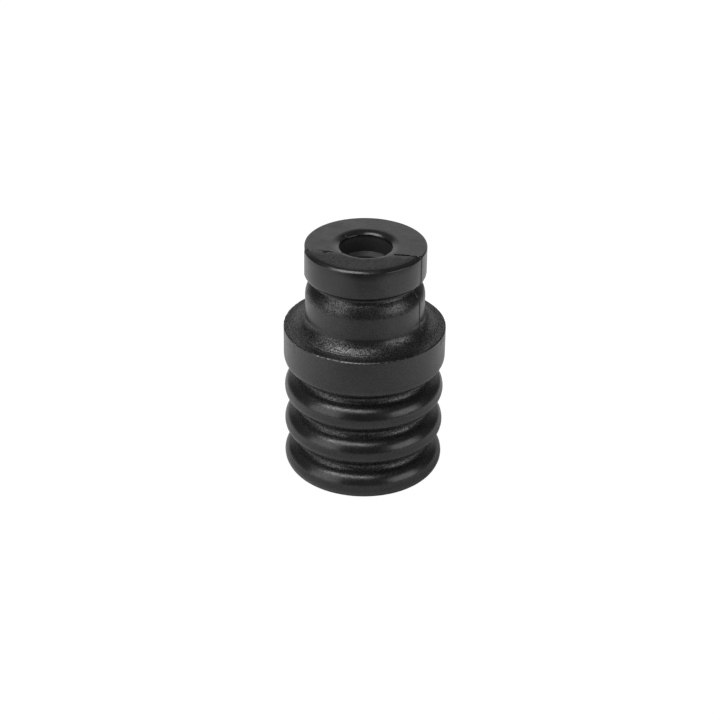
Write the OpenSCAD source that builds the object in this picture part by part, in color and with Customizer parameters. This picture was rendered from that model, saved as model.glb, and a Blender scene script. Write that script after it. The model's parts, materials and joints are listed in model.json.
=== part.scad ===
// Helper spring: a moulded elastomer bump stop with a through bore, round about one upright axis.
// It stands on its foot, and z runs up the axis. All sizes are in millimetres.

/* [Rings] */
// How many rounded rings stand under the flange
ring_count = 3; // [1:1:6]
// Radius over the crests of the rings
ring_r = 23.5; // [22:0.1:26]
// Height from one crest to the next
ring_pitch = 11.3; // [9:0.1:16]
// Depth of the grooves between the rings, measured from the crests
groove_depth = 3.9; // [2.5:0.05:5]
// Radius of the hollow roots of the grooves
groove_round = 1.7; // [0.8:0.1:2.4]
// Height taken off the lowest ring to leave a flat foot
foot_trim = 0.4; // [0.1:0.05:1.5]

/* [Flange] */
// Radius of the flange's straight wall
flange_r = 23.8; // [23:0.1:28]
// Height of the flange's straight wall
flange_wall = 9.1; // [4:0.1:14]
// Radius that turns the flange wall in to the first groove
flange_round = 4; // [2.5:0.1:8]
// Radius of the flange's top edge
flange_edge = 0.3; // [0.2:0.05:1.5]

/* [Neck] */
// Radius of the neck's straight wall
neck_r = 17.5; // [16.5:0.1:19]
// Height of the neck's straight wall
neck_wall = 5.4; // [3:0.1:12]
// Radius of the hollow flare from the neck to the flange
neck_flare = 4.5; // [1.5:0.1:5.5]
// Radius that turns the neck in to the snap groove
shoulder_round = 6.3; // [4:0.1:8]
// Radius at the root of the snap groove
snap_r = 15.4; // [14.6:0.1:16.2]
// Radius of the hollow root of the snap groove
snap_round = 1; // [0.5:0.1:2]

/* [Collar] */
// Radius of the collar's straight wall
collar_r = 17.7; // [17:0.1:18.4]
// Height of the collar, from the top face to its turned-in lower edge
collar_wall = 7.95; // [3:0.05:12]
// Radius that turns the collar in to the snap groove
collar_round = 2; // [1.2:0.1:6]
// Radius of the collar's top edge
collar_edge = 0.8; // [0.3:0.05:2]

/* [Bore] */
// Radius of the rod bore
bore_r = 6.6; // [5:0.1:7.2]
// Radius of the wider entry at the top
entry_r = 7.6; // [7.3:0.1:9]
// Depth of the entry's straight wall with its rounded rim
entry_depth = 6; // [3:0.1:20]
// Height of the slope from the entry to the rod bore
entry_slope = 1.2; // [0.4:0.1:4]
// Radius of the entry's top rim
rim_round = 1.2; // [0.4:0.1:2]

/* [Hidden] */
$fn = 128;
// Overlap of two curves that touch, so that they always cross
lap = 0.0004;
// Height of an arc's centre from a groove centre: the arc has the radius arc_r, its wall stands
// step out from the groove root, and the root has the radius root_r
function rise(arc_r, root_r, step) = sqrt(2 * step * (arc_r + root_r) - step * step);
// The crest radius that makes one crest run smoothly in to the next groove
ring_round = (groove_depth * groove_depth + ring_pitch * ring_pitch / 4) / (2 * groove_depth) - groove_round;
ring_c = ring_r - ring_round;
groove_c = ring_r - groove_depth + groove_round;
function ring_z(i) = ring_round - foot_trim + i * ring_pitch;
flange_c = flange_r - flange_round;
flange_z = ring_z(ring_count - 0.5) + rise(flange_round, groove_round, flange_r - ring_r + groove_depth);
flange_top = flange_z + flange_wall;
// The flare leaves a narrow flat inside the flange's top edge
flange_flat = 0.1;
flare = min(neck_flare, flange_r - flange_edge - flange_flat - neck_r);
shoulder_c = neck_r - shoulder_round;
shoulder_z = flange_top + flare + neck_wall;
snap_c = snap_r + snap_round;
snap_z = shoulder_z + rise(shoulder_round, snap_round, neck_r - snap_r);
collar_c = collar_r - collar_round;
collar_z = snap_z + rise(collar_round, snap_round, collar_r - snap_r);
top_z = collar_z + collar_wall;
entry_z = top_z - entry_depth;

// A disc at radius x and height z of the half section
module disc(x, z, r) {
    translate([x, z]) circle(r = r);
}

// The half of a disc on one side of its centre's height: up is 1 for the upper half, -1 for the lower
module half_disc(x, z, r, up) {
    intersection() {
        disc(x, z, r);
        translate([x - 2 * r, up > 0 ? z : z - 2 * r]) square([4 * r, 2 * r]);
    }
}

// The block inside a rounded edge whose two walls meet at x and z; out is 1 for an outer edge
module edge_waste(x, z, r, out) {
    difference() {
        translate([out > 0 ? x - r : x, z - r]) square([r, r]);
        disc(x - out * r, z - r, r);
    }
}

// Straight lines through the centres of the curves, from the foot up to the top face
module frame_section() {
    polygon(concat(
        [[0, 0], [ring_c, 0]],
        [for (i = [0 : 2 * ring_count - 1]) [i % 2 == 0 ? ring_c : groove_c, ring_z(i / 2)]],
        [[flange_c, flange_z], [flange_r, flange_z], [flange_r, flange_top]],
        [[neck_r + flare, flange_top], [neck_r + flare, flange_top + flare]],
        [[neck_r, flange_top + flare], [neck_r, shoulder_z], [shoulder_c, shoulder_z]],
        [[snap_c, snap_z], [collar_c, collar_z], [collar_r, collar_z], [collar_r, top_z], [0, top_z]]
    ));
}

// The outside: the crests are added to the lines, and the grooves are taken out
module outer_section() {
    difference() {
        union() {
            frame_section();
            for (i = [0 : ring_count - 1]) disc(ring_c, ring_z(i), ring_round);
            half_disc(flange_c, flange_z, flange_round, -1);
            half_disc(shoulder_c, shoulder_z, shoulder_round, 1);
            half_disc(collar_c, collar_z, collar_round, -1);
        }
        for (i = [0 : ring_count - 1]) disc(groove_c, ring_z(i + 0.5), groove_round + lap);
        disc(snap_c, snap_z, snap_round + lap);
        disc(neck_r + flare, flange_top + flare, flare);
        edge_waste(flange_r, flange_top, flange_edge, 1);
        edge_waste(collar_r, top_z, collar_edge, 1);
        translate([0, -ring_round]) square([ring_r, ring_round]);
    }
}

// The bore: the rod's way through, with the slope and the wider entry over it
module bore_section() {
    polygon([
        [0, -ring_round], [bore_r, -ring_round], [bore_r, entry_z - entry_slope],
        [entry_r, entry_z], [entry_r, top_z + 1], [0, top_z + 1]
    ]);
    edge_waste(entry_r, top_z, rim_round, -1);
}

// The moulded spring
module helper_spring() {
    color([0.06, 0.06, 0.065])
        rotate_extrude()
            difference() {
                outer_section();
                bore_section();
            }
}

helper_spring();
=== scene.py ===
"""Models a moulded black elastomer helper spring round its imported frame, in a plain white studio."""
import json
import math
import random
from typing import NamedTuple

import bmesh
import bpy
from bpy.props import FloatProperty, FloatVectorProperty, IntProperty, PointerProperty
from mathutils import Matrix, Vector


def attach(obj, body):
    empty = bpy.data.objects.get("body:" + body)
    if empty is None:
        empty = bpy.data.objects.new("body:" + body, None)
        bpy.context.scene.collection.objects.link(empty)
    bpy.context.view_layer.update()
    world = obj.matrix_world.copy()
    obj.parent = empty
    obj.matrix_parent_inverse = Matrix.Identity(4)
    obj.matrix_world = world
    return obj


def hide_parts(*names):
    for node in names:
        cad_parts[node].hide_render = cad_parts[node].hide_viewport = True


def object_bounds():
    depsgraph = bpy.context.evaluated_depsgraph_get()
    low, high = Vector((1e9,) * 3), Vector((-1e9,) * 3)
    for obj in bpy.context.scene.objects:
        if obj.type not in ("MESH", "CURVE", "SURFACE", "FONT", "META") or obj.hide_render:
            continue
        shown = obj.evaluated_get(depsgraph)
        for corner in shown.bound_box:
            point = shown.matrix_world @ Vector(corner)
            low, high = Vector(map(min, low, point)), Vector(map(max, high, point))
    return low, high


bl_info = {
    "name": "Helper Spring",
    "version": (1, 0, 0),
    "blender": (4, 5, 0),
    "location": "View3D > Sidebar > Helper Spring",
    "description": "Models a moulded elastomer helper spring and the studio that shows it",
    "category": "Object",
}

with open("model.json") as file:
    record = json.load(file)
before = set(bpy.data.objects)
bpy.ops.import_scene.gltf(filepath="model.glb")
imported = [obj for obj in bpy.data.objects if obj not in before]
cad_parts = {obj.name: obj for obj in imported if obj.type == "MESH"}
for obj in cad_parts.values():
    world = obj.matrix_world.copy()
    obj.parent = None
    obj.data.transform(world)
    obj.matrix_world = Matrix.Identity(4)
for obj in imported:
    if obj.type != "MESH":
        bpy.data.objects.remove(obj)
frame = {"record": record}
CAD_BOX = [list(corner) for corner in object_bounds()]
NODE = "helper_spring"
MOUNTS = {mount["name"]: mount for mount in frame["record"]["mounts"]}
MM = 0.001
QUARTER = math.pi / 2
# How near a vertex has to be to count as on the parting plane, and on a loop of the section
ON_PLANE = 0.001 * MM
ON_LOOP = 0.004 * MM


def mount_radius(name):
    """A round mount's radius in metres."""
    return MOUNTS[name]["dims"]["r_mm"] * MM


def length(name, description, default):
    """A size in metres that a user may change."""
    return FloatProperty(name=name, description=description, default=default, unit="LENGTH", precision=5)


def share(name, description, default):
    """A plain number that a user may change."""
    return FloatProperty(name=name, description=description, default=default)


def count(name, description, default):
    """A whole number that a user may change."""
    return IntProperty(name=name, description=description, default=default)


def colour(name, description, default):
    """A colour that a user may change."""
    return FloatVectorProperty(name=name, description=description, default=default, subtype="COLOR", size=3)


def angle(name, description, degrees):
    """An angle that a user may change."""
    return FloatProperty(name=name, description=description, default=math.radians(degrees), subtype="ANGLE")


def power(name, description, default):
    """A lamp's power in watts that a user may change."""
    return FloatProperty(name=name, description=description, default=default, unit="POWER")


class SpringSizes(bpy.types.PropertyGroup):
    """The half section of the body"""

    top_z: length("Height", "Height of the top face over the foot", CAD_BOX[1][2])
    bore_r: length("Bore radius", "Radius of the rod bore", mount_radius("rod_bore"))
    entry_r: length("Entry radius", "Radius of the wider top of the bore", mount_radius("top_entry"))
    entry_depth: length("Entry depth", "Depth of the bore's wider top", 6 * MM)
    entry_slope: length("Entry slope", "Height of the slope down to the rod bore", 1.2 * MM)
    rim_width: length("Rim width", "How far the bore's rim reaches across the top face", 2.6 * MM)
    rim_drop: length("Rim drop", "How far the bore's rim rolls down in to the bore", 0.9 * MM)
    collar_r: length("Collar radius", "Radius of the collar's wall", mount_radius("collar_wall"))
    collar_wall: length("Collar wall", "Height of the collar's straight wall and edge", 7.95 * MM)
    collar_round: length("Collar turn", "Radius that turns the collar in to the snap groove", 2 * MM)
    collar_edge: length("Collar edge", "Rounding of the top edge behind the parting line", 0.4 * MM)
    front_width: length("Front edge width", "How far the front edge reaches across the top", 2.6 * MM)
    front_drop: length("Front edge drop", "How far the front edge rolls down the wall", 0.9 * MM)
    snap_r: length("Snap groove radius", "Radius at the root of the snap groove", 15.4 * MM)
    snap_round: length("Snap groove root", "Radius of the snap groove's hollow root", 1 * MM)
    neck_r: length("Neck radius", "Radius of the neck's wall", 17.5 * MM)
    shoulder_round: length("Shoulder", "Radius that turns the neck in to the snap groove", 6.3 * MM)
    neck_flare: length("Flare", "Radius of the hollow flare on to the flange", 4.5 * MM)
    flange_r: length("Flange radius", "Radius of the flange's wall", mount_radius("flange_wall"))
    flange_wall: length("Flange wall", "Height of the flange's straight wall and edge", 9.1 * MM)
    flange_round: length("Flange turn", "Radius that turns the flange in to the first groove", 4 * MM)
    flange_edge: length("Flange edge", "Width of the flange's bevelled top edge", 0.28 * MM)
    flange_drop: length("Flange edge drop", "Height of the flange's bevelled top edge", 0.24 * MM)
    ring_count: count("Rings", "How many rings stand under the flange", 3)
    ring_r: length("Ring radius", "Radius over the crests of the rings", 23.5 * MM)
    ring_pitch: length("Ring pitch", "Height from one crest to the next", 11.3 * MM)
    groove_depth: length("Groove depth", "Depth of the grooves from the crests", 3.9 * MM)
    groove_round: length("Groove root", "Radius of the grooves' hollow roots", 1.7 * MM)
    foot_trim: length("Foot trim", "Height taken off the lowest ring for the foot", 0.4 * MM)
    segments: count("Segments", "Steps round the axis", 360)


class MouldMarks(bpy.types.PropertyGroup):
    """What the mould and its parting line left on the body"""

    seam_offset: length("Seam offset", "How far in front of the axis the mould parted", 5.5 * MM)
    seam_turn: angle("Seam turn", "Turn of the parting plane about the axis", 6.3)
    seam_half: length("Seam half width", "Half the width of the parting line", 0.2 * MM)
    seam_depth: length("Seam depth", "Depth of the groove along the parting line", 0.2 * MM)
    collar_shift: length("Collar shift", "How far to the left the collar's front half sits", 0.3 * MM)
    neck_shift: length("Neck shift", "How far to the left the neck's front half sits", 0.15 * MM)
    tool_line: length("Tool lines", "Height of the fine rings on the flare", 0.09 * MM)
    nicks: count("Nicks", "How many nicks the flange's edge has", 34)
    nick_depth: length("Nick depth", "Depth of the deepest nick", 0.2 * MM)
    ripple: length("Ripple", "Unevenness of the moulded skin", 0.06 * MM)
    ripple_size: length("Ripple size", "Width of the skin's unevenness", 7 * MM)


class SkinFinish(bpy.types.PropertyGroup):
    """The look of the moulded skin"""

    black: colour("Black", "Colour of the skin", (0.007, 0.007, 0.0072))
    bloom: colour("Bloom", "Colour of the faint bloom on it", (0.011, 0.011, 0.0113))
    bloom_size: length("Bloom size", "Width of the patches of bloom", 6 * MM)
    bore: colour("Bore", "Colour of the dusty bore", (0.02, 0.02, 0.0205))
    level: share("Specular", "Strength of its reflection", 0.6)
    front_gloss: share("Front gloss", "Strength of the reflection on the worn top, as a share", 0.8)
    smooth: share("Smooth", "Roughness where the mould was polished", 0.17)
    dull: share("Dull", "Roughness where the skin is dull", 0.24)
    dull_size: length("Dull size", "Width of the dull patches", 2.5 * MM)
    worn: share("Worn", "Roughness added in front of the parting line on top", 0.25)
    dust: share("Dust", "Roughness added in the bore", 0.4)
    broken: share("Broken gloss", "Roughness added where the grain is full", 0.1)
    below: share("Below the collar", "Roughness added under the polished collar", 0.05)
    grain: length("Grain", "Size of the grain of the skin", 0.5 * MM)
    grain_depth: length("Grain depth", "Depth of the grain", 0.045 * MM)
    wall_grain: share("Wall grain", "Strength of the grain all over", 0.18)
    flare_grain: share("Flare grain", "Strength added on the flange and the flare", 0.95)
    shoulder_grain: share("Shoulder grain", "Strength added on the shoulder", 0.6)
    ring_grain: share("Ring grain", "Strength added on the rings' upper sides", 0.75)
    front_grain: share("Front grain", "Strength added on the worn top", 0.45)
    pit: length("Pits", "Size of the fine pits that break up the gloss", 0.33 * MM)
    pit_low: share("In pits", "Change of the gloss in a pit, where the grain is full", -0.95)
    pit_high: share("Between pits", "Change of the gloss between pits, where the grain is full", 1.15)


class StudioSizes(bpy.types.PropertyGroup):
    """The camera, the sheet and the lights"""

    lens: share("Lens", "Focal length in millimetres", 101.25)
    sensor: share("Sensor", "Width of the camera's sensor in millimetres", 36)
    distance: length("Distance", "Camera's distance from the point it looks at", 600 * MM)
    elevation: angle("Elevation", "Camera's height over the horizon", 29.57)
    roll: angle("Roll", "Camera's turn about its own view", 0.787)
    aim_x: length("Aim to the side", "Sideways place of the point it looks at", -1.238 * MM)
    aim_z: length("Aim height", "Height of the point it looks at", 34.43 * MM)
    floor: length("Floor", "Width of the sheet that the spring stands on", 6.0)
    front: length("Front edge", "How far the sheet reaches in front of the spring", 0.16)
    paper: colour("Paper", "Colour of the sheet", (0.67, 0.67, 0.67))
    white: share("White", "Brightness of the sheet to the camera", 1.05)
    ambient: share("Ambient", "Brightness of the dim room", 0.1)
    overhead: length("Overhead height", "Height of the boxes over the spring", 0.74)
    beside: length("Side distance", "Distance of the boxes beside the spring", 0.55)
    strip_power: power("Strip power", "Power of the long box overhead", 2.4)
    panel_power: power("Panel power", "Power of the square box overhead", 1.7)
    left_power: power("Left power", "Power of the tall box on the left", 2.75)
    right_power: power("Right power", "Power of the low box on the right", 1.0)


class Section:
    """Heights and centres of the half section that follow from the sizes."""

    def __init__(self, sizes):
        depth = sizes.groove_depth
        self.ring_round = (depth * depth + sizes.ring_pitch ** 2 / 4) / (2 * depth) - sizes.groove_round
        self.ring_c = sizes.ring_r - self.ring_round
        self.groove_c = sizes.ring_r - depth + sizes.groove_round
        first = self.ring_round - sizes.foot_trim
        self.ring_z = [first + i * sizes.ring_pitch for i in range(sizes.ring_count)]
        self.groove_z = [z + sizes.ring_pitch / 2 for z in self.ring_z]
        self.flange_c = sizes.flange_r - sizes.flange_round
        step = sizes.flange_r - sizes.ring_r + depth
        self.flange_z = self.groove_z[-1] + self.rise(sizes.flange_round, sizes.groove_round, step)
        self.flange_top = self.flange_z + sizes.flange_wall
        self.collar_c = sizes.collar_r - sizes.collar_round
        self.collar_z = sizes.top_z - sizes.collar_wall
        self.snap_c = sizes.snap_r + sizes.snap_round
        step = sizes.collar_r - sizes.snap_r
        self.snap_z = self.collar_z - self.rise(sizes.collar_round, sizes.snap_round, step)
        self.shoulder_c = sizes.neck_r - sizes.shoulder_round
        step = sizes.neck_r - sizes.snap_r
        self.shoulder_z = self.snap_z - self.rise(sizes.shoulder_round, sizes.snap_round, step)
        self.foot_r = self.ring_c + math.sqrt(self.ring_round ** 2 - self.ring_z[0] ** 2)

    @staticmethod
    def rise(arc, root, step):
        """Height between the centres of an edge's arc and of the groove that it runs in to."""
        return math.sqrt(2 * step * (arc + root) - step * step)


class Pen:
    """Draws a section in the XZ plane with one vertex, and remembers its points."""

    def __init__(self, name, r, z):
        bpy.ops.object.select_all(action="DESELECT")
        bpy.ops.mesh.primitive_plane_add(size=MM)
        self.body = bpy.context.object
        self.body.name = self.body.data.name = name
        bpy.ops.object.mode_set(mode="EDIT")
        bpy.ops.mesh.select_mode(type="VERT")
        bpy.ops.mesh.select_all(action="SELECT")
        bpy.ops.mesh.merge(type="CENTER")
        bpy.ops.transform.translate(value=(r, 0, z))
        self.path = [Vector((r, 0, z))]

    def line(self, r, z, steps=1):
        """Extrudes straight on to a point, in equal steps."""
        start = self.path[-1]
        step = (Vector((r, 0, z)) - start) / steps
        for i in range(1, steps + 1):
            bpy.ops.mesh.extrude_vertices_move(TRANSFORM_OT_translate={"value": step})
            self.path.append(start + step * i)
        return self.path[-steps:]

    def arc(self, r, z, turn, steps):
        """Spins on about a centre; a positive turn goes anticlockwise with r to the right and z up."""
        axis = (0, 1, 0) if turn > 0 else (0, -1, 0)
        bpy.ops.mesh.spin(steps=steps, angle=abs(turn), center=(r, 0, z), axis=axis)
        centre = Vector((r, 0, z))
        arm = self.path[-1] - centre
        for i in range(1, steps + 1):
            self.path.append(centre + Matrix.Rotation(-turn * i / steps, 3, "Y") @ arm)
        return self.path[-steps:]

    def arc_towards(self, r, z, goal, steps, clockwise):
        """Spins about a centre until the pen faces another point from it."""
        here = math.atan2(self.path[-1].z - z, self.path[-1].x - r)
        there = math.atan2(goal[1] - z, goal[0] - r)
        turn = (there - here) % math.tau
        return self.arc(r, z, turn - math.tau if clockwise else turn, steps)

    def roll(self, r, z, size, turn, steps, ridges=()):
        """Goes along an ellipse between two angles, and stands in by a ridge's height at its step."""
        heights = dict(ridges)
        for i in range(1, steps + 1):
            at = turn[0] + (turn[1] - turn[0]) * i / steps
            inset = heights.get(i, 0)
            self.line(r + (size[0] - inset) * math.cos(at), z + (size[1] - inset) * math.sin(at))
        return self.path[-steps:]


# How many steps the flare has, and the steps at which the tool left a fine ring
FLARE_STEPS = 24
TOOL_LINES = (15, 18, 21)


def draw_section(sizes, section, marks):
    """The half section: up the bore, over the top face, down the outside and back along the foot.

    Returns the body, the points of the collar's top edge, and those from there to the flange's top."""
    entry_z = sizes.top_z - sizes.entry_depth
    rim_z = sizes.top_z - sizes.rim_drop
    pen = Pen("moulded_body", sizes.bore_r, 0)
    pen.line(sizes.bore_r, entry_z - sizes.entry_slope, 3)
    pen.line(sizes.entry_r, entry_z, 2)
    pen.line(sizes.entry_r, rim_z, 3)
    rim = (sizes.rim_width, sizes.rim_drop)
    pen.roll(sizes.entry_r + sizes.rim_width, rim_z, rim, (math.pi, QUARTER), 14)
    pen.line(sizes.collar_r - sizes.front_width, sizes.top_z, 10)
    edge_r = sizes.collar_r - sizes.collar_edge
    edge = pen.line(edge_r, sizes.top_z, 9)
    edge += pen.arc(edge_r, sizes.top_z - sizes.collar_edge, -QUARTER, 5)
    edge += pen.line(sizes.collar_r, sizes.top_z - sizes.front_drop, 2)
    edge_end = len(pen.path)
    pen.line(sizes.collar_r, section.collar_z, 3)
    pen.arc_towards(section.collar_c, section.collar_z, (section.snap_c, section.snap_z), 8, True)
    pen.arc_towards(section.snap_c, section.snap_z, (section.shoulder_c, section.shoulder_z), 8, False)
    pen.arc_towards(section.shoulder_c, section.shoulder_z, (sizes.neck_r, section.shoulder_z), 12, True)
    flare_r = sizes.neck_r + sizes.neck_flare
    flare_z = section.flange_top + sizes.neck_flare
    pen.line(sizes.neck_r, flare_z, 4)
    flare = (sizes.neck_flare, sizes.neck_flare)
    ridges = [(step, marks.tool_line) for step in TOOL_LINES]
    pen.roll(flare_r, flare_z, flare, (math.pi, 3 * QUARTER), FLARE_STEPS, ridges)
    side = pen.path[edge_end:]
    pen.line(sizes.flange_r - sizes.flange_edge, section.flange_top, 6)
    pen.line(sizes.flange_r, section.flange_top - sizes.flange_drop, 2)
    pen.line(sizes.flange_r, section.flange_z, 4)
    grooves = [(section.groove_c, z) for z in section.groove_z]
    pen.arc_towards(section.flange_c, section.flange_z, grooves[-1], 10, True)
    for i in reversed(range(sizes.ring_count)):
        pen.arc_towards(*grooves[i], (section.ring_c, section.ring_z[i]), 8, False)
        below = grooves[i - 1] if i else (section.foot_r, 0)
        pen.arc_towards(section.ring_c, section.ring_z[i], below, 20, True)
    pen.line(sizes.bore_r, 0, 3)
    return pen.body, edge, side


def radius_of(co):
    """Distance of a point from the axis."""
    return math.hypot(co.x, co.y)


def select(body, wanted):
    """In edit mode, selects the vertices that a test on their place names, and only them."""
    bpy.ops.mesh.select_mode(type="VERT")
    bpy.ops.mesh.select_all(action="DESELECT")
    mesh = bmesh.from_edit_mesh(body.data)
    for vertex in mesh.verts:
        vertex.select_set(wanted(vertex.co))
    mesh.select_flush_mode()
    bmesh.update_edit_mesh(body.data)


def on_loop(point):
    """A test for the vertices of the loop that a point of the section swept."""
    return lambda co: abs(co.z - point.z) < ON_LOOP and abs(radius_of(co) - point.x) < ON_LOOP


class SeamPlane:
    """The upright plane that the mould parted on."""

    def __init__(self, marks):
        self.normal = Vector((-math.sin(marks.seam_turn), -math.cos(marks.seam_turn), 0))
        self.point = self.normal * marks.seam_offset

    def before(self, co):
        """How far a point is in front of the plane."""
        return (co - self.point).dot(self.normal)


def set_front(body, plane, point, r, z, shift):
    """Moves a loop's part in front of the parting plane to another radius and height, and to the left."""
    here = on_loop(point)
    select(body, lambda co: here(co) and plane.before(co) > ON_PLANE)
    bpy.ops.transform.resize(value=(r / point.x, r / point.x, 1), center_override=(0, 0, 0))
    bpy.ops.transform.translate(value=(-shift, 0, z - point.z))


def shift_front(body, sizes, section, marks, plane, edge, side):
    """Shifts the front half to the left, less and less down the neck, and rounds its top edge more."""
    for i, point in enumerate(edge, 1):
        turn = QUARTER * (1 - i / len(edge))
        r = sizes.collar_r - sizes.front_width * (1 - math.cos(turn))
        z = sizes.top_z - sizes.front_drop * (1 - math.sin(turn))
        set_front(body, plane, point, r, z, marks.collar_shift)
    for point in side:
        if point.z > section.snap_z:
            shift = marks.collar_shift
        elif point.z > section.shoulder_z:
            part = (point.z - section.shoulder_z) / (section.snap_z - section.shoulder_z)
            shift = marks.neck_shift + part * (marks.collar_shift - marks.neck_shift)
        else:
            shift = marks.neck_shift * min(1, (point.z - section.flange_top) / sizes.neck_flare)
        set_front(body, plane, point, point.x, point.z, shift)


# Where the parting line shows on the top face, in millimetres: from and to across, and how deep
TOP_MARKS = (
    (-17.6, -14.2, 0.12),
    (-13.4, -11.6, 0.5),
    (-10.6, -8.6, 0.16),
    (8.2, 9.6, 0.14),
    (10.4, 14.6, 0.5),
    (15.4, 17.6, 0.2),
)


def cut_seam(marks, plane):
    """Cuts the body along the two sides and the middle of the parting line."""
    for offset in (0, marks.seam_half, 2 * marks.seam_half):
        place = plane.point + plane.normal * offset
        bpy.ops.mesh.select_all(action="SELECT")
        bpy.ops.mesh.bisect(plane_co=place, plane_no=plane.normal, threshold=1e-7)


def sink_seam(body, sizes, section, marks, plane):
    """Draws the parting line in: down to the flare, on the flange's left and along the top face."""
    wall_top = sizes.top_z - 0.5 * sizes.collar_edge
    neck_end = section.flange_top + 0.5 * sizes.neck_flare
    outside = sizes.snap_r - sizes.snap_round

    def draw_in(depth, wanted):
        select(body, lambda co: abs(plane.before(co) - marks.seam_half) < ON_PLANE and wanted(co))
        bpy.ops.transform.shrink_fatten(value=-depth)

    draw_in(marks.seam_depth, lambda co: neck_end < co.z < wall_top and radius_of(co) > outside)
    draw_in(marks.seam_depth, lambda co: abs(co.z - section.flange_top) < ON_PLANE and co.x < 0)
    for start, end, depth in TOP_MARKS:
        draw_in(depth * MM, lambda co: co.z > wall_top and start * MM < co.x < end * MM)


def nick_edge(body, sizes, section, marks):
    """Small nicks round the flange's top edge."""
    draw = random.Random(11)
    half_step = math.pi / sizes.segments
    edge_r = sizes.flange_r - sizes.flange_edge - 0.01 * MM
    low = section.flange_top - 1.1 * sizes.flange_drop
    high = section.flange_top + 0.1 * MM
    for _ in range(marks.nicks):
        at = draw.uniform(-math.pi, math.pi)
        depth = marks.nick_depth * draw.uniform(0.3, 1.0)

        def in_nick(co):
            on_edge = radius_of(co) >= edge_r and low <= co.z < high
            return on_edge and abs(math.atan2(co.y, co.x) - at) < half_step

        select(body, in_nick)
        bpy.ops.transform.translate(value=(-depth * math.cos(at), -depth * math.sin(at), -depth))


# Chips round the bore's rim, in millimetres: place across and along, how wide and how deep
RIM_CHIPS = (
    (-6.3, 5.3, 0.8, 0.35),
    (-6.2, -5.0, 0.7, 0.25),
    (5.0, -6.1, 0.9, 0.3),
)


def chip_rim(body, sizes):
    """Small chips in the bore's top rim, two of them where the parting line meets it."""
    top = sizes.top_z - 0.7 * sizes.rim_drop
    for x, y, wide, deep in RIM_CHIPS:

        def in_chip(co):
            return co.z > top and math.hypot(co.x - x * MM, co.y - y * MM) < wide * MM

        select(body, in_chip)
        bpy.ops.transform.translate(value=(0, 0, -deep * MM))


def displace(body, name, size, strength, wanted):
    """Applies an uneven displacement to the vertices that a test names."""
    group = body.vertex_groups.new(name=name)
    group.add([v.index for v in body.data.vertices if wanted(v.co)], 1.0, "REPLACE")
    clouds = bpy.data.textures.new(name, "CLOUDS")
    clouds.noise_scale = size
    clouds.noise_depth = 2
    modifier = body.modifiers.new(name, "DISPLACE")
    modifier.texture = clouds
    modifier.texture_coords = "LOCAL"
    modifier.vertex_group = group.name
    modifier.strength = strength
    modifier.mid_level = 0.5
    bpy.ops.object.modifier_apply(modifier=name)


class Nodes:
    """Builds a node tree: adds nodes, sets their inputs and links them."""

    def __init__(self, tree):
        self.tree = tree

    def add(self, kind, values=None, **settings):
        """Adds a node, sets its properties, and sets or links each named or numbered input."""
        node = self.tree.nodes.new(kind)
        for name, value in settings.items():
            setattr(node, name, value)
        for socket, value in (values or {}).items():
            self.feed(node.inputs[socket], value)
        return node

    def feed(self, socket, value):
        """Links an output to the socket, or sets its value."""
        if isinstance(value, bpy.types.NodeSocket):
            self.tree.links.new(value, socket)
        else:
            socket.default_value = value

    def math(self, operation, a, b=0.0):
        """A Math node's result."""
        return self.add("ShaderNodeMath", {0: a, 1: b}, operation=operation).outputs[0]

    def total(self, *values):
        """The sum of several values."""
        result = values[0]
        for value in values[1:]:
            result = self.math("ADD", result, value)
        return result

    def vector(self, operation, a, b=(0, 0, 0)):
        """A Vector Math node's outputs."""
        return self.add("ShaderNodeVectorMath", {0: a, 1: b}, operation=operation).outputs

    def axes(self, coordinates):
        """The three parts of a vector."""
        return self.add("ShaderNodeSeparateXYZ", {0: coordinates}).outputs

    def ramp(self, value, low, high, start=0.0, end=1.0):
        """Runs smoothly from start, below low, to end, above high."""
        values = {"Value": value, "From Min": low, "From Max": high, "To Min": start, "To Max": end}
        node = self.add("ShaderNodeMapRange", values, interpolation_type="SMOOTHSTEP")
        return node.outputs["Result"]

    def band(self, value, start, end, soft):
        """1 between start and end, and 0 further than soft outside them."""
        rise = self.ramp(value, start - soft, start)
        return self.math("MULTIPLY", rise, self.ramp(value, end, end + soft, 1.0, 0.0))

    def noise(self, coordinates, size, detail):
        """Noise whose lumps are about the given size in metres."""
        values = {"Vector": coordinates, "Scale": 1 / size, "Detail": detail}
        return self.add("ShaderNodeTexNoise", values).outputs["Fac"]

    def mix(self, factor, first, second):
        """A colour between two others."""
        node = self.add("ShaderNodeMix", {"Factor": factor}, data_type="RGBA")
        self.feed(node.inputs[6], first)
        self.feed(node.inputs[7], second)
        return node.outputs[2]


def grain_strength(nodes, z, finish, sizes, section):
    """How strong the grain is: full on the flare, the shoulder and the rings' upper sides."""
    flange_top, snap_z, shoulder_z = section.flange_top, section.snap_z, section.shoulder_z
    flare_z = flange_top + 0.5 * sizes.neck_flare
    on_flange = nodes.ramp(z, flange_top - 0.5 * MM, flange_top - 0.2 * MM)
    under_neck = nodes.ramp(z, flare_z, flare_z + 2 * MM, finish.flare_grain, 0.0)
    flare = nodes.math("MULTIPLY", on_flange, under_neck)
    under_collar = nodes.ramp(z, snap_z - 0.3 * MM, snap_z + 0.3 * MM, finish.shoulder_grain, 0.0)
    shoulder = nodes.math("MULTIPLY", under_collar, nodes.ramp(z, shoulder_z, shoulder_z + MM))
    over_crest = nodes.math("DIVIDE", nodes.math("SUBTRACT", z, section.ring_z[0]), sizes.ring_pitch)
    upper_side = nodes.band(nodes.math("FRACT", over_crest), 0.4, 0.5, 0.2)
    under_flange = nodes.ramp(z, section.flange_z - MM, section.flange_z, finish.ring_grain, 0.0)
    rings = nodes.math("MULTIPLY", upper_side, under_flange)
    return nodes.total(flare, shoulder, rings, finish.wall_grain)


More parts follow.
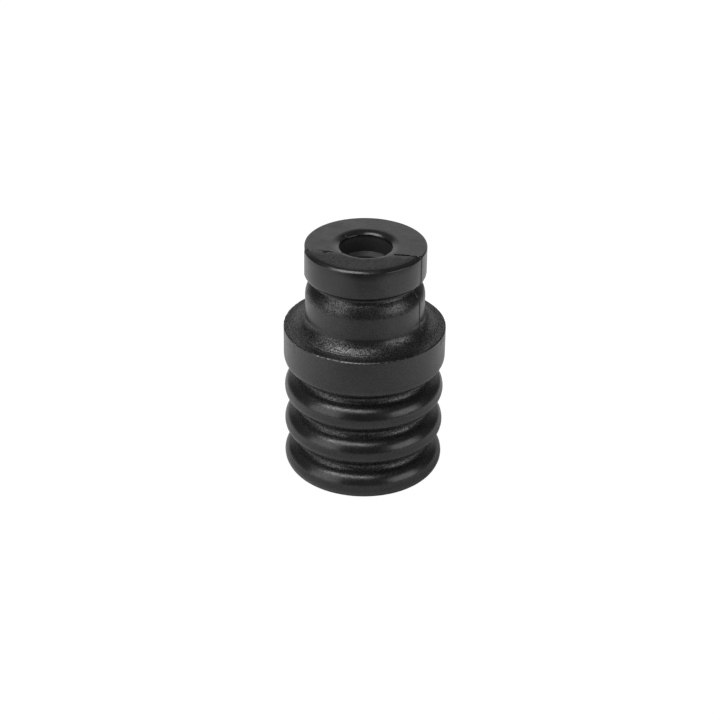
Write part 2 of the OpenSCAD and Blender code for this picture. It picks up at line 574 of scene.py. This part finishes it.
def in_bore(nodes, coordinates, z, sizes):
    """1 in the bore below its rim, 0 elsewhere."""
    flat = nodes.vector("MULTIPLY", coordinates, (1, 1, 0))["Vector"]
    radius = nodes.vector("LENGTH", flat)["Value"]
    rim_z = sizes.top_z - sizes.rim_drop
    within = nodes.ramp(radius, sizes.entry_r, sizes.entry_r + 0.2 * MM, 1.0, 0.0)
    return nodes.math("MULTIPLY", within, nodes.ramp(z, rim_z - MM, rim_z, 1.0, 0.0))


def before_plane(nodes, coordinates, plane):
    """How far a point is in front of the parting plane."""
    along = nodes.vector("DOT_PRODUCT", coordinates, plane.normal)["Value"]
    return nodes.math("SUBTRACT", along, plane.point.dot(plane.normal))


def worn_top(nodes, before, z, sizes):
    """1 on the top face well in front of the parting line, 0 behind it and elsewhere."""
    on_top = nodes.ramp(z, sizes.top_z - 0.12 * MM, sizes.top_z - 0.04 * MM)
    return nodes.math("MULTIPLY", nodes.ramp(before, -0.5 * MM, 4 * MM), on_top)


# Dark marks by the parting line on the top face, in millimetres: from and to across, and in front of it
DARK_MARKS = (
    (-12.2, -11.2, 0.8, 1.5),
    (-11.2, -9.4, 0.3, 0.8),
    (8.2, 12.4, -0.3, 0.4),
)


def dark_marks(nodes, before, x):
    """1 in the dark marks by the parting line, 0 elsewhere."""
    spots = []
    for left, right, near, far in DARK_MARKS:
        across = nodes.band(x, left * MM, right * MM, 0.3 * MM)
        along = nodes.band(before, near * MM, far * MM, 0.2 * MM)
        spots.append(nodes.math("MULTIPLY", across, along))
    return nodes.total(*spots)


def skin_material(finish, sizes, section, plane):
    """Black moulded elastomer: a satin skin with a fine grain, duller on the top face's front."""
    material = bpy.data.materials.new("moulded_skin")
    material.use_nodes = True
    nodes = Nodes(material.node_tree)
    skin = material.node_tree.nodes["Principled BSDF"].inputs
    coordinates = nodes.add("ShaderNodeTexCoord").outputs["Object"]
    x, _, z = nodes.axes(coordinates)
    inside = in_bore(nodes, coordinates, z, sizes)
    before = before_plane(nodes, coordinates, plane)
    front = worn_top(nodes, before, z, sizes)
    front_grain = nodes.math("MULTIPLY", front, finish.front_grain)
    strength = nodes.total(grain_strength(nodes, z, finish, sizes, section), front_grain)

    bloom = nodes.ramp(nodes.noise(coordinates, finish.bloom_size, 4.0), 0.35, 0.7)
    tint = nodes.mix(bloom, (*finish.black, 1), (*finish.bloom, 1))
    # The bore below its rim is set lighter than the skin's black, all over
    nodes.feed(skin["Base Color"], nodes.mix(inside, tint, (*finish.bore, 1)))

    dull = nodes.noise(coordinates, finish.dull_size, 3.0)
    patch = nodes.ramp(dull, 0.3, 0.75, finish.smooth, finish.dull)
    broken = nodes.math("MULTIPLY", strength, finish.broken)
    below = nodes.ramp(z, section.snap_z, section.collar_z, finish.below, 0.0)
    worn = nodes.math("MULTIPLY", front, finish.worn)
    matte = nodes.math("MULTIPLY", inside, finish.dust)
    nodes.feed(skin["Roughness"], nodes.total(patch, broken, below, worn, matte))

    pits = nodes.ramp(nodes.noise(coordinates, finish.pit, 1.0), 0.3, 0.7, finish.pit_low, finish.pit_high)
    even = nodes.ramp(front, 0.0, 1.0, 1.0, finish.front_gloss)
    gloss = nodes.total(nodes.math("MULTIPLY", pits, strength), even)
    marked = nodes.ramp(dark_marks(nodes, before, x), 0.0, 1.0, finish.level, 0.0)
    # The plain level stays on the socket for an export that drops the pits
    nodes.feed(skin["Specular IOR Level"], finish.level)
    nodes.feed(skin["Specular IOR Level"], nodes.math("MULTIPLY", gloss, marked))

    grain = nodes.math("SUBTRACT", nodes.noise(coordinates, finish.grain, 2.0), 0.5)
    height = nodes.math("MULTIPLY", grain, strength)
    bump = nodes.add("ShaderNodeBump", {"Height": height, "Strength": 1.0, "Distance": finish.grain_depth})
    nodes.feed(skin["Normal"], bump.outputs["Normal"])
    return material


class HELPER_SPRING_OT_body(bpy.types.Operator):
    """Model the moulded body round its half section"""

    bl_idname = "helper_spring.body"
    bl_label = "Moulded Body"

    def execute(self, context):
        sizes = context.scene.spring_sizes
        marks = context.scene.mould_marks
        section = Section(sizes)
        plane = SeamPlane(marks)
        body, edge, side = draw_section(sizes, section, marks)
        bpy.ops.mesh.select_all(action="SELECT")
        bpy.ops.mesh.spin(steps=sizes.segments, angle=math.tau, center=(0, 0, 0), axis=(0, 0, 1))
        bpy.ops.mesh.select_all(action="SELECT")
        bpy.ops.mesh.remove_doubles(threshold=0.0005 * MM)
        bpy.ops.mesh.normals_make_consistent(inside=False)
        cut_seam(marks, plane)
        sink_seam(body, sizes, section, marks, plane)
        shift_front(body, sizes, section, marks, plane, edge, side)
        nick_edge(body, sizes, section, marks)
        chip_rim(body, sizes)
        bpy.ops.object.mode_set(mode="OBJECT")

        def on_skin(co):
            return radius_of(co) > sizes.entry_r + sizes.rim_width and co.z > 0.5 * MM

        displace(body, "skin_ripple", marks.ripple_size, marks.ripple, on_skin)
        bpy.ops.object.shade_smooth_by_angle(angle=math.radians(35))
        body.data.materials.append(skin_material(context.scene.skin_finish, sizes, section, plane))
        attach(body, "root")
        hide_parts(NODE)
        return {"FINISHED"}


def towards(azimuth, elevation):
    """A direction from the object: azimuth 0 is the camera's side and 90 the right."""
    a, e = math.radians(azimuth), math.radians(elevation)
    return Vector((math.sin(a) * math.cos(e), -math.cos(a) * math.cos(e), math.sin(e)))


def soft_box(name, place, back, across, size, watts):
    """A soft box that shines away from its back; its width runs level towards the azimuth across."""
    side = towards(across, 0)
    bpy.ops.object.light_add(type="AREA", location=place)
    light = bpy.context.object
    light.name = light.data.name = name
    light.data.shape = "RECTANGLE"
    light.data.size, light.data.size_y = size
    light.data.energy = watts
    light.rotation_euler = Matrix((side, back.cross(side), back)).transposed().to_euler()


def reflected(nodes):
    """1 for rays that show the background in gloss or through glass."""
    path = nodes.add("ShaderNodeLightPath").outputs
    return nodes.math("MAXIMUM", path["Is Glossy Ray"], path["Is Transmission Ray"])


class Glow(NamedTuple):
    """How brightly one side of the floor shows in reflections, by the distance from the axis in metres."""

    turn: tuple
    near: float
    far: float
    fade: tuple
    rest: float


# Painted light on the floor, seen in reflections alone: a bright pool by the foot on the left, and on the
# right a painted shadow that keeps it dim by the foot
LEFT_GLOW = Glow(turn=(0.06, 0.14), near=1.1, far=0.93, fade=(0.18, 0.35), rest=0.4)
RIGHT_GLOW = Glow(turn=(0.03, 0.1), near=0.3, far=0.9, fade=(0.16, 0.28), rest=0.15)


def glow_strength(nodes, out, glow):
    """A glow that turns from near to far, and fades to a rest of it further out."""
    level = nodes.ramp(out, *glow.turn, glow.near, glow.far)
    return nodes.math("MULTIPLY", level, nodes.ramp(out, *glow.fade, 1.0, glow.rest))


def floor_material(studio):
    """White paper, plain white to the camera but for a trace of the spring's shadow round its foot.

    In reflections it shows as it is lit in front, and to both sides it glows with painted light that fades
    further out, dim by the foot on the right as a painted shadow."""
    material = bpy.data.materials.new("studio_floor")
    material.use_nodes = True
    nodes = Nodes(material.node_tree)
    material.node_tree.nodes.clear()
    coordinates = nodes.add("ShaderNodeTexCoord").outputs["Object"]
    out = nodes.vector("LENGTH", coordinates)["Value"]
    x = nodes.axes(coordinates)["X"]
    camera = nodes.add("ShaderNodeLightPath").outputs["Is Camera Ray"]
    paper = nodes.add("ShaderNodeBsdfDiffuse", {"Color": (*studio.paper, 1)}).outputs[0]
    left = glow_strength(nodes, out, LEFT_GLOW)
    right = glow_strength(nodes, out, RIGHT_GLOW)
    glow = nodes.ramp(x, -0.02, 0.02, left, right)
    strength = nodes.ramp(camera, 0.0, 1.0, glow, studio.white)
    white = nodes.add("ShaderNodeEmission", {"Color": (1, 1, 1, 1), "Strength": strength}).outputs[0]
    straight = nodes.math("MULTIPLY", camera, nodes.ramp(out, 0.03, 0.1, 0.95, 1.0))
    aside = nodes.ramp(nodes.math("ABSOLUTE", x), 0.025, 0.115)
    mirrored = nodes.math("MULTIPLY", reflected(nodes), aside)
    lift = nodes.math("MAXIMUM", straight, mirrored)
    mixed = nodes.add("ShaderNodeMixShader", {0: lift, 1: paper, 2: white}).outputs[0]
    nodes.add("ShaderNodeOutputMaterial", {"Surface": mixed})
    return material


def studio_world(studio):
    """White to the camera; to other rays a dim room with a low white wall behind the object."""
    world = bpy.data.worlds.new("studio")
    bpy.context.scene.world = world
    world.use_nodes = True
    nodes = Nodes(world.node_tree)
    world.node_tree.nodes.clear()
    direction = nodes.axes(nodes.add("ShaderNodeTexCoord").outputs["Generated"])
    behind = nodes.ramp(direction["Y"], 0.65, 0.85)
    tone = nodes.ramp(direction["Z"], 0.1, 0.35, 0.6, 0.85)
    low = nodes.math("MULTIPLY", tone, nodes.ramp(direction["Z"], 0.4, 0.6, 1.0, 0.0))
    wall = nodes.math("MULTIPLY", nodes.math("MULTIPLY", behind, low), reflected(nodes))
    camera = nodes.add("ShaderNodeLightPath").outputs["Is Camera Ray"]
    strength = nodes.math("MAXIMUM", nodes.math("MAXIMUM", wall, studio.ambient), camera)
    background = nodes.add("ShaderNodeBackground", {"Color": (1, 1, 1, 1), "Strength": strength}).outputs[0]
    nodes.add("ShaderNodeOutputWorld", {"Surface": background})


def hang_lights(studio):
    """Two soft boxes overhead and one on each side."""
    up = Vector((0, 0, 1))
    left = towards(-56, 0)
    right = towards(61, 0)
    soft_box(
        "strip", place=Vector((-0.235, -0.262, studio.overhead)), back=up, across=72,
        size=(0.71, 0.22), watts=studio.strip_power,
    )
    soft_box(
        "panel", place=Vector((-0.18, 0.07, studio.overhead)), back=up, across=90,
        size=(0.34, 0.32), watts=studio.panel_power,
    )
    soft_box(
        "left_box", place=left * studio.beside + up * 0.61, back=left, across=34,
        size=(0.44, 1.2), watts=studio.left_power,
    )
    soft_box(
        "right_box", place=right * studio.beside + up * 0.24, back=right, across=151,
        size=(0.42, 0.4), watts=studio.right_power,
    )


class HELPER_SPRING_OT_stage(bpy.types.Operator):
    """Set the floor, the lights and the camera"""

    bl_idname = "helper_spring.stage"
    bl_label = "Studio"

    def execute(self, context):
        scene = context.scene
        studio = scene.studio_sizes
        bpy.ops.object.select_all(action="DESELECT")
        bpy.ops.mesh.primitive_plane_add(size=studio.floor)
        floor = context.object
        bpy.ops.object.mode_set(mode="EDIT")
        bpy.ops.transform.translate(value=(0, studio.floor / 2 - studio.front, 0))
        bpy.ops.object.mode_set(mode="OBJECT")
        floor.name = floor.data.name = "studio_floor"
        floor.data.materials.append(floor_material(studio))
        studio_world(studio)
        hang_lights(studio)
        aim = Vector((studio.aim_x, 0, studio.aim_z))
        back = towards(0, math.degrees(studio.elevation))
        bpy.ops.object.camera_add(location=aim + back * studio.distance)
        camera = context.object
        facing = back.to_track_quat("Z", "Y").to_matrix() @ Matrix.Rotation(studio.roll, 3, "Z")
        camera.rotation_euler = facing.to_euler()
        camera.data.lens = studio.lens
        camera.data.sensor_width = studio.sensor
        scene.camera = camera
        scene.view_settings.view_transform = "Standard"
        return {"FINISHED"}


class HELPER_SPRING_PT_panel(bpy.types.Panel):
    """Lists the steps that build the spring and its studio"""

    bl_idname = "HELPER_SPRING_PT_panel"
    bl_label = "Helper Spring"
    bl_space_type = "VIEW_3D"
    bl_region_type = "UI"
    bl_category = "Helper Spring"

    def draw(self, context):
        for operator in (HELPER_SPRING_OT_body, HELPER_SPRING_OT_stage):
            self.layout.operator(operator.bl_idname)


GROUPS = {
    "spring_sizes": SpringSizes,
    "mould_marks": MouldMarks,
    "skin_finish": SkinFinish,
    "studio_sizes": StudioSizes,
}
CLASSES = (*GROUPS.values(), HELPER_SPRING_OT_body, HELPER_SPRING_OT_stage, HELPER_SPRING_PT_panel)


def register():
    for cls in CLASSES:
        bpy.utils.register_class(cls)
    for name, group in GROUPS.items():
        setattr(bpy.types.Scene, name, PointerProperty(type=group))


def unregister():
    for name in GROUPS:
        delattr(bpy.types.Scene, name)
    for cls in reversed(CLASSES):
        bpy.utils.unregister_class(cls)


def main():
    register()
    bpy.ops.helper_spring.body()
    bpy.ops.helper_spring.stage()


if __name__ == "__main__":
    main()
